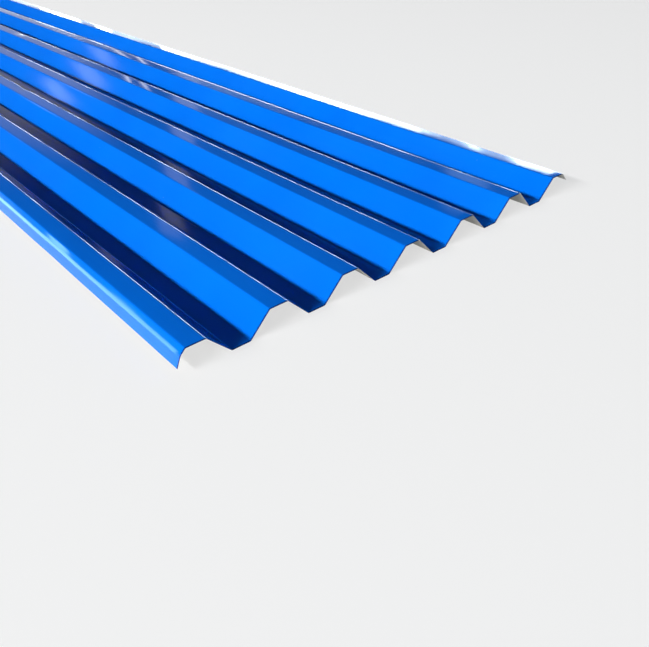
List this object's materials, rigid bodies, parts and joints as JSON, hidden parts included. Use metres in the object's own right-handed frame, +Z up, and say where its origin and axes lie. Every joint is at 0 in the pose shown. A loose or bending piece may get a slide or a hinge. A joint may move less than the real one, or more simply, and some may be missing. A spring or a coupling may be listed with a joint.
{
  "type": "corrugated metal sheet",
  "caption": "Corrugated steel roofing and cladding sheet with trapezoidal ribs, glossy blue paint, a folded covering edge, a plain underlap edge and square cut ends.",
  "frame": {"origin": "on the floor below the crest of the middle rib, halfway along the sheet", "axes": "+X across the ribs towards the underlapping edge, +Y along the ribs, +Z up, out of the painted face"},
  "size_m": [0.8091, 3, 0.035],
  "materials": {
    "pre_painted_steel": "gloss coil-coated blue, pale grey back coat"
  },
  "bodies": {
    "root": {"corrugated_sheet": "pre_painted_steel"}
  },
  "joints": []
}
